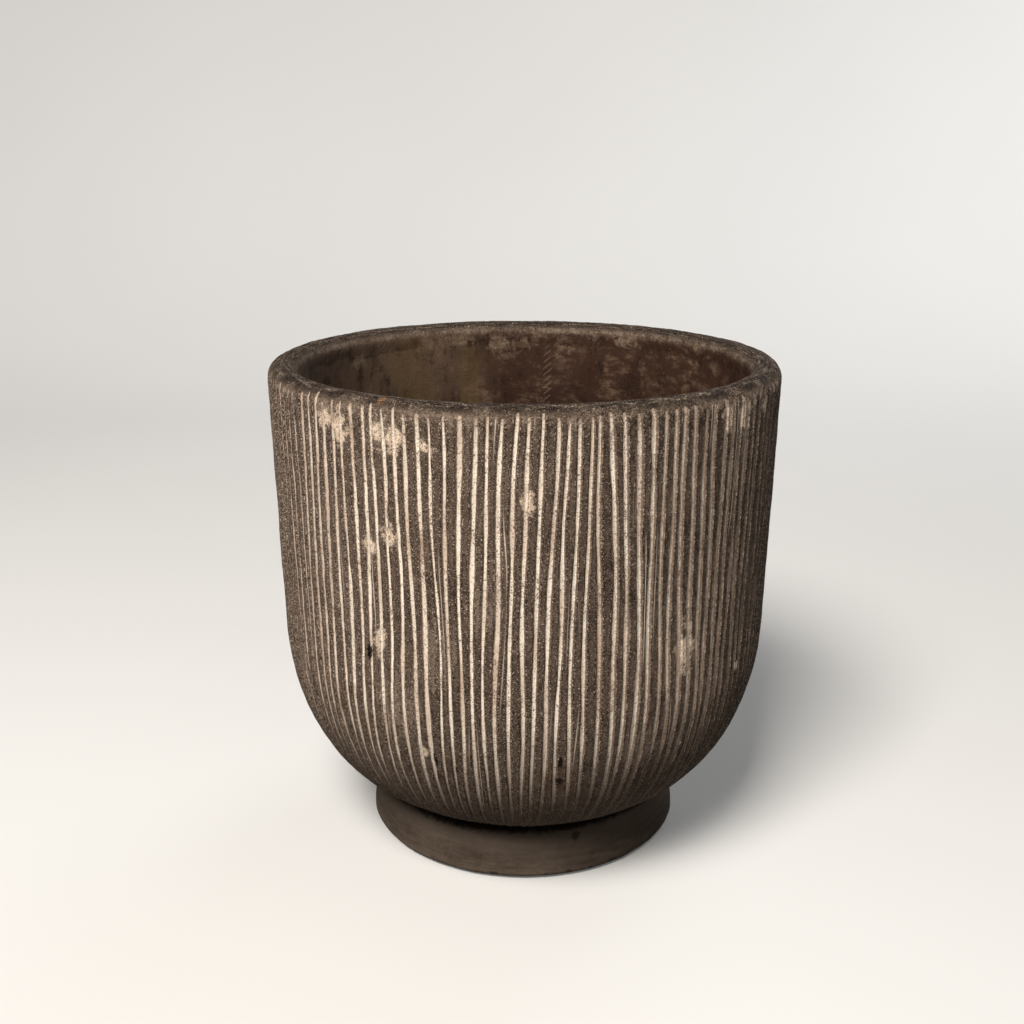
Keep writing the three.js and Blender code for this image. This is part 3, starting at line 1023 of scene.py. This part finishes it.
FLOOR_SIZE = 3
FLOOR_AT = -0.3
BACKDROP_HEIGHT = 1.6
SWEEP = 0.6


def camera():
    place = (0, -CAMERA_BACK, CAMERA_UP)
    bpy.ops.object.camera_add(location=place, rotation=(math.pi / 2 - CAMERA_PITCH, 0, CAMERA_YAW))
    view = bpy.context.object
    view.data.sensor_width = SENSOR
    view.data.lens = SENSOR * FOCAL_PIXELS / IMAGE_PIXELS
    view.data.clip_start = 0.01
    bpy.context.scene.camera = view


def stage_finish():
    """Pale to the eye, and a darker grey for the light that it throws back on the pot."""
    f = Finish("pale_stage")
    seen = f.seen()
    cloud = f.grain(400, detail=2)
    pale = f.mix(shade(194, 194, 193), shade(202, 202, 201), cloud)
    glow = seen * (f.y.rise(100, 1100) * 0.2 + 0.1)
    f.feed(f.shader.inputs["Emission Color"], f.mix((0, 0, 0, 1), (1.0, 0.98, 0.95, 1), glow))
    f.shader.inputs["Emission Strength"].default_value = 1
    return f.done(f.mix(shade(88, 87, 86), pale, seen), 0.9, f.bump(cloud, 0.01), 0.1)


def stage():
    """A pale floor that sweeps up behind the pot."""
    bpy.ops.object.select_all(action="DESELECT")
    bpy.ops.mesh.primitive_plane_add(size=FLOOR_SIZE, location=(0, FLOOR_AT, 0))
    floor = start("floor")
    bpy.ops.mesh.select_all(action="DESELECT")
    bpy.ops.object.mode_set(mode="OBJECT")
    for edge in floor.data.edges:
        edge.select = all(floor.data.vertices[v].co.y > 0 for v in edge.vertices)
    bpy.ops.object.mode_set(mode="EDIT")
    bpy.ops.mesh.select_mode(type="EDGE")
    raise_selected(BACKDROP_HEIGHT)
    bpy.ops.object.mode_set(mode="OBJECT")
    modify(floor, "BEVEL", width=SWEEP, segments=16, limit_method="ANGLE")
    bpy.ops.object.shade_smooth()
    floor.data.materials.append(stage_finish())


def soft_lamp(name, azimuth, elevation, distance, size, power, colour):
    """A square soft lamp aimed at the pot, at degrees round from the camera's side and up."""
    turn, lift = math.radians(azimuth), math.radians(elevation)
    aim = Vector((0, 0, RIM_TOP / 2))
    away = Vector((math.sin(turn) * math.cos(lift), -math.cos(turn) * math.cos(lift), math.sin(lift)))
    bpy.ops.object.light_add(type="AREA", location=aim + away * distance)
    lamp = bpy.context.object
    lamp.name = name
    lamp.rotation_euler = away.to_track_quat("Z", "Y").to_euler()
    lamp.data.size = size
    lamp.data.energy = power
    lamp.data.color = colour


def lights():
    """A warm lamp at the front left, a cool one behind, and a dim room that looks pale."""
    soft_lamp(
        "key", azimuth=-24, elevation=52, distance=1.3, size=0.5, power=29, colour=(1.0, 0.94, 0.87)
    )
    soft_lamp(
        "behind", azimuth=150, elevation=26, distance=1.4, size=1.0, power=10, colour=(0.94, 0.97, 1.0)
    )
    world = bpy.data.worlds.new("pale_room")
    world.use_nodes = True
    room = Nodes(world.node_tree)
    pale = room.mix((0.054, 0.056, 0.057, 1), (0.85, 0.84, 0.82, 1), room.seen())
    room.feed(world.node_tree.nodes["Background"].inputs["Color"], pale)
    bpy.context.scene.world = world
    bpy.context.scene.view_settings.view_transform = "Standard"


camera()
stage()
lights()
scored_coat()
lining()
foot()
felt_pads()
stopper()
finish_node("cast_bowl", cast_finish())
finish_node("mortar_bed", mortar_finish())
